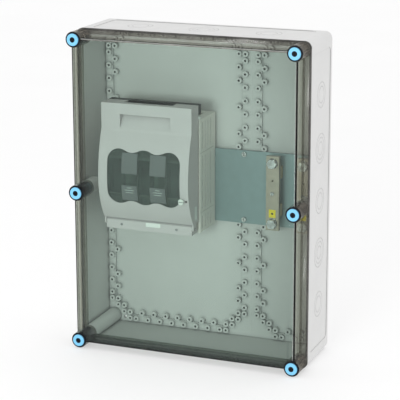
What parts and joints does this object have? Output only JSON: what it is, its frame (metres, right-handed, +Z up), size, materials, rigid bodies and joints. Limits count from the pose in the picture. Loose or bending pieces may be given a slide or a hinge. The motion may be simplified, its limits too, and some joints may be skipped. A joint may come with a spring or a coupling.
{
  "type": "fuse box panel",
  "caption": "Wall-mounted insulated enclosure with a deep clear lid over a fuse-switch-disconnector, a neutral bar and an earth bar.",
  "frame": {"origin": "centre of the back (wall) face, which is also the centre of the wall fixing pattern", "axes": "+X right, +Z up, +Y into the wall; the front faces -Y"},
  "size_m": [0.45, 0.174, 0.6],
  "materials": {
    "enclosure_grey": "moulded, light grey, fine satin",
    "seal": "foam rubber",
    "clear_lid": "smoked transparent polycarbonate, polished",
    "lock_black": "satin",
    "lock_blue": "satin",
    "galvanised": "galvanised sheet",
    "zinc": "zinc plated",
    "bar": "tinned, satin",
    "insulator": "moulded",
    "marker_yellow": "printed film",
    "marker_white": "printed film",
    "switch_grey": "moulded, fine texture",
    "silvered_copper": "silver plated",
    "spring_steel": "bright",
    "window_dark": "smoked transparent, polished",
    "window_plate": "satin",
    "carrier_black": "satin",
    "fuse_ceramic": "unglazed",
    "knob": "satin"
  },
  "bodies": {
    "enclosure": {"boss_frame_left": "enclosure_grey", "boss_frame_right": "enclosure_grey", "contact_jaws": "silvered_copper", "earth_bar": "bar", "earth_bolts": "zinc", "earth_clamp_screw": "zinc", "earth_marker": "marker_yellow", "earth_supports": "insulator", "earth_washers": "zinc", "enclosure_base": "enclosure_grey", "hinge_block": "switch_grey", "hinge_block_screws": "spring_steel", "hinge_pins": "spring_steel", "jaw_springs": "spring_steel", "lid_seal": "seal", "marking_strip": "marker_white", "mounting_plate": "galvanised", "neutral_bar": "bar", "neutral_bolts": "zinc", "neutral_clamp_screw": "zinc", "neutral_marker": "marker_yellow", "neutral_supports": "insulator", "neutral_washers": "zinc", "plate_screws": "zinc", "switch_base": "switch_grey", "switch_mount_screws": "zinc", "terminal_bolts": "zinc", "terminal_cover_bottom": "switch_grey", "terminal_cover_screws": "zinc", "terminal_cover_top": "switch_grey"},
    "lid": {"lid_hood": "clear_lid"},
    "lock_top_left": {"lock_body_top_left": "lock_black", "lock_head_top_left": "lock_blue"},
    "lock_top_right": {"lock_body_top_right": "lock_black", "lock_head_top_right": "lock_blue"},
    "lock_mid_left": {"lock_body_mid_left": "lock_black", "lock_head_mid_left": "lock_blue"},
    "lock_mid_right": {"lock_body_mid_right": "lock_black", "lock_head_mid_right": "lock_blue"},
    "lock_bottom_left": {"lock_body_bottom_left": "lock_black", "lock_head_bottom_left": "lock_blue"},
    "lock_bottom_right": {"lock_body_bottom_right": "lock_black", "lock_head_bottom_right": "lock_blue"},
    "cover": {"switch_cover": "switch_grey", "cover_liner": "carrier_black", "vent_inserts": "knob", "cover_window": "window_dark", "window_plates": "window_plate", "fuse_carriers": "carrier_black", "fuse_1_body": "fuse_ceramic", "fuse_1_contacts": "silvered_copper", "fuse_2_body": "fuse_ceramic", "fuse_2_contacts": "silvered_copper", "fuse_3_body": "fuse_ceramic", "fuse_3_contacts": "silvered_copper"},
    "cover_lock": {"cover_lock_knob": "knob"}
  },
  "joints": [
    {"name": "lid_off", "type": "slide", "parent": "enclosure", "child": "lid", "axis": [0, -1, 0], "range_m": [0, 0.3]},
    {"name": "lock_top_left_turn", "type": "hinge", "parent": "lid", "child": "lock_top_left", "pos_m": [-0.21, -0.15, 0.285], "axis": [0, -1, 0], "range_deg": [0, 90]},
    {"name": "lock_top_right_turn", "type": "hinge", "parent": "lid", "child": "lock_top_right", "pos_m": [0.21, -0.15, 0.285], "axis": [0, -1, 0], "range_deg": [0, 90]},
    {"name": "lock_mid_left_turn", "type": "hinge", "parent": "lid", "child": "lock_mid_left", "pos_m": [-0.21, -0.15, 0], "axis": [0, -1, 0], "range_deg": [0, 90]},
    {"name": "lock_mid_right_turn", "type": "hinge", "parent": "lid", "child": "lock_mid_right", "pos_m": [0.21, -0.15, 0], "axis": [0, -1, 0], "range_deg": [0, 90]},
    {"name": "lock_bottom_left_turn", "type": "hinge", "parent": "lid", "child": "lock_bottom_left", "pos_m": [-0.21, -0.15, -0.285], "axis": [0, -1, 0], "range_deg": [0, 90]},
    {"name": "lock_bottom_right_turn", "type": "hinge", "parent": "lid", "child": "lock_bottom_right", "pos_m": [0.21, -0.15, -0.285], "axis": [0, -1, 0], "range_deg": [0, 90]},
    {"name": "cover_swing", "type": "hinge", "parent": "enclosure", "child": "cover", "pos_m": [-0.0875, -0.112, -0.063], "axis": [1, 0, 0], "range_deg": [0, 85]},
    {"name": "cover_lock_turn", "type": "hinge", "parent": "cover", "child": "cover_lock", "pos_m": [-0.012, -0.14, -0.0045], "axis": [0, -1, 0], "range_deg": [0, 90]}
  ],
  "couplings": [
    {"joint": "cover_swing", "follows": "lid_off", "rad_per_m": 4.94}
  ]
}
